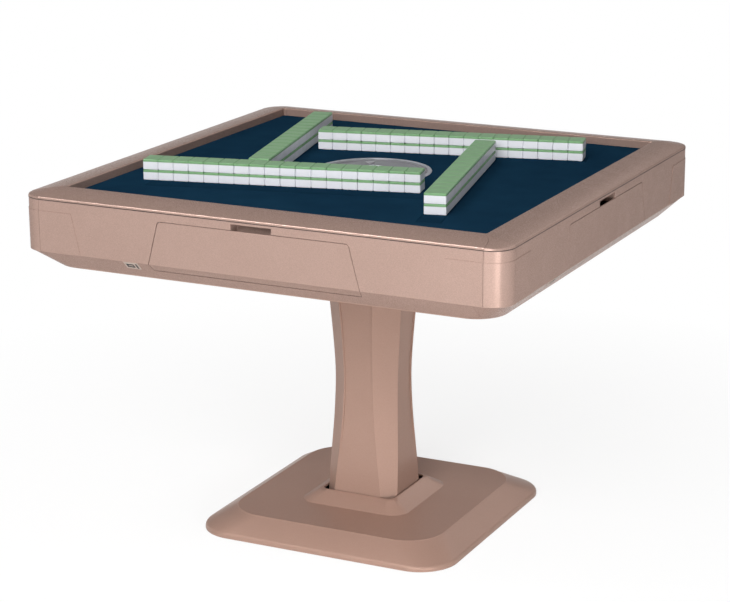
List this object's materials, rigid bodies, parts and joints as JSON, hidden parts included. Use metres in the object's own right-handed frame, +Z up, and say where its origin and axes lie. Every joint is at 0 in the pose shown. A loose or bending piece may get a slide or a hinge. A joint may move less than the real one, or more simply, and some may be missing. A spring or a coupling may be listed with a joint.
{
  "type": "automatic mahjong table",
  "caption": "Square tile-game table with a drawer in each side, a waisted column on a square foot, tile lifts, a rising centre disc and a shuffling turntable inside.",
  "frame": {"origin": "on the floor under the middle of the table", "axes": "+Z up, the front side with its drawer faces -Y, the right side faces +X"},
  "size_m": [0.98, 0.98, 0.7476],
  "materials": {
    "case_paint": "satin champagne metallic paint",
    "pedestal_paint": "satin champagne metallic paint, darker",
    "tray_plastic": "moulded black plastic",
    "lift_plate": "matt, in the colour of the cloth",
    "tile": "polished melamine with a green back",
    "steel": "grey powder coat",
    "bright_steel": "zinc plated",
    "black_plastic": "moulded black plastic",
    "socket_plastic": "beige socket insert",
    "board": "fibre board",
    "cloth": "dark blue short-pile cloth",
    "ring_silver": "satin silver",
    "disc_plastic": "dark smoked plastic",
    "clear_dome": "clear moulded dome",
    "die": "polished white",
    "button_plastic": "translucent red",
    "turntable_plastic": "moulded off-white plastic"
  },
  "bodies": {
    "root": {"side_panel_front": "case_paint", "side_panel_right": "case_paint", "side_panel_back": "case_paint", "side_panel_left": "case_paint", "frame_rail_front": "case_paint", "frame_rail_right": "case_paint", "frame_rail_back": "case_paint", "frame_rail_left": "case_paint", "corner_cover_front_right": "case_paint", "corner_cover_back_right": "case_paint", "corner_cover_back_left": "case_paint", "corner_cover_front_left": "case_paint", "frame_caps": "case_paint", "tile_wall_front": "tile", "case_floor": "pedestal_paint", "base_cover": "pedestal_paint", "column_cover": "pedestal_paint", "drawer_runners": "steel", "chassis_beams": "steel", "board_struts": "steel", "column_post": "steel", "base_frame": "steel", "head_plate": "steel", "control_box": "steel", "power_supply": "steel", "head_bolts": "bright_steel", "lift_drives": "bright_steel", "riser_drive": "bright_steel", "turntable_motor": "bright_steel", "riser_tower": "bright_steel", "levelling_feet": "black_plastic", "power_gland": "black_plastic", "switch_frame": "black_plastic", "charging_sockets": "socket_plastic", "playing_board": "board", "playing_cloth": "cloth", "centre_trim": "ring_silver"},
    "drawer_front": {"drawer_front_front": "case_paint", "drawer_tray_front": "tray_plastic"},
    "lift_front": {"lift_tray_front": "lift_plate"},
    "drawer_right": {"drawer_front_right": "case_paint", "drawer_tray_right": "tray_plastic"},
    "lift_right": {"lift_tray_right": "lift_plate", "tile_wall_right": "tile"},
    "drawer_back": {"drawer_front_back": "case_paint", "drawer_tray_back": "tray_plastic"},
    "lift_back": {"lift_tray_back": "lift_plate", "tile_wall_back": "tile"},
    "drawer_left": {"drawer_front_left": "case_paint", "drawer_tray_left": "tray_plastic"},
    "lift_left": {"lift_tray_left": "lift_plate", "tile_wall_left": "tile"},
    "riser": {"riser_housing": "disc_plastic", "dice_dome": "clear_dome", "dice": "die"},
    "roll_button": {"roll_button": "button_plastic"},
    "raise_button": {"raise_button": "button_plastic"},
    "turntable": {"turntable": "turntable_plastic"},
    "drive_roller": {"drive_roller": "black_plastic"},
    "power_rocker": {"switch_rocker": "black_plastic"}
  },
  "joints": [
    {"name": "drawer_front_slide", "type": "slide", "parent": "root", "child": "drawer_front", "axis": [0, -1, 0], "range_m": [0, 0.13]},
    {"name": "drawer_right_slide", "type": "slide", "parent": "root", "child": "drawer_right", "axis": [1, 0, 0], "range_m": [0, 0.13]},
    {"name": "drawer_back_slide", "type": "slide", "parent": "root", "child": "drawer_back", "axis": [0, 1, 0], "range_m": [0, 0.13]},
    {"name": "drawer_left_slide", "type": "slide", "parent": "root", "child": "drawer_left", "axis": [-1, 0, 0], "range_m": [0, 0.13]},
    {"name": "lift_front_slide", "type": "slide", "parent": "root", "child": "lift_front", "axis": [0, 0, 1], "range_m": [-0.055, 0]},
    {"name": "lift_right_slide", "type": "slide", "parent": "root", "child": "lift_right", "axis": [0, 0, 1], "range_m": [-0.055, 0]},
    {"name": "lift_back_slide", "type": "slide", "parent": "root", "child": "lift_back", "axis": [0, 0, 1], "range_m": [-0.055, 0]},
    {"name": "lift_left_slide", "type": "slide", "parent": "root", "child": "lift_left", "axis": [0, 0, 1], "range_m": [-0.055, 0]},
    {"name": "riser_slide", "type": "slide", "parent": "root", "child": "riser", "axis": [0, 0, 1], "range_m": [0, 0.055]},
    {"name": "roll_button_press", "type": "slide", "parent": "riser", "child": "roll_button", "axis": [0, 0, -1], "range_m": [0, 0.0014], "stiffness_N_per_m": 400, "springref_m": -0.001},
    {"name": "raise_button_press", "type": "slide", "parent": "riser", "child": "raise_button", "axis": [0, 0, -1], "range_m": [0, 0.0014], "stiffness_N_per_m": 400, "springref_m": -0.001},
    {"name": "turntable_spin", "type": "hinge", "parent": "root", "child": "turntable", "pos_m": [0, 0, 0.62], "axis": [0, 0, 1], "continuous": true},
    {"name": "drive_roller_spin", "type": "hinge", "parent": "root", "child": "drive_roller", "pos_m": [0.07357, 0.11593, 0.612], "axis": [0, 0, 1], "continuous": true},
    {"name": "power_rocker_tilt", "type": "hinge", "parent": "root", "child": "power_rocker", "pos_m": [0.37, 0.402, 0.574], "axis": [1, 0, 0], "range_deg": [0, 16]}
  ],
  "couplings": [
    {"joint": "drive_roller_spin", "follows": "turntable_spin", "ratio": -8.1333}
  ]
}
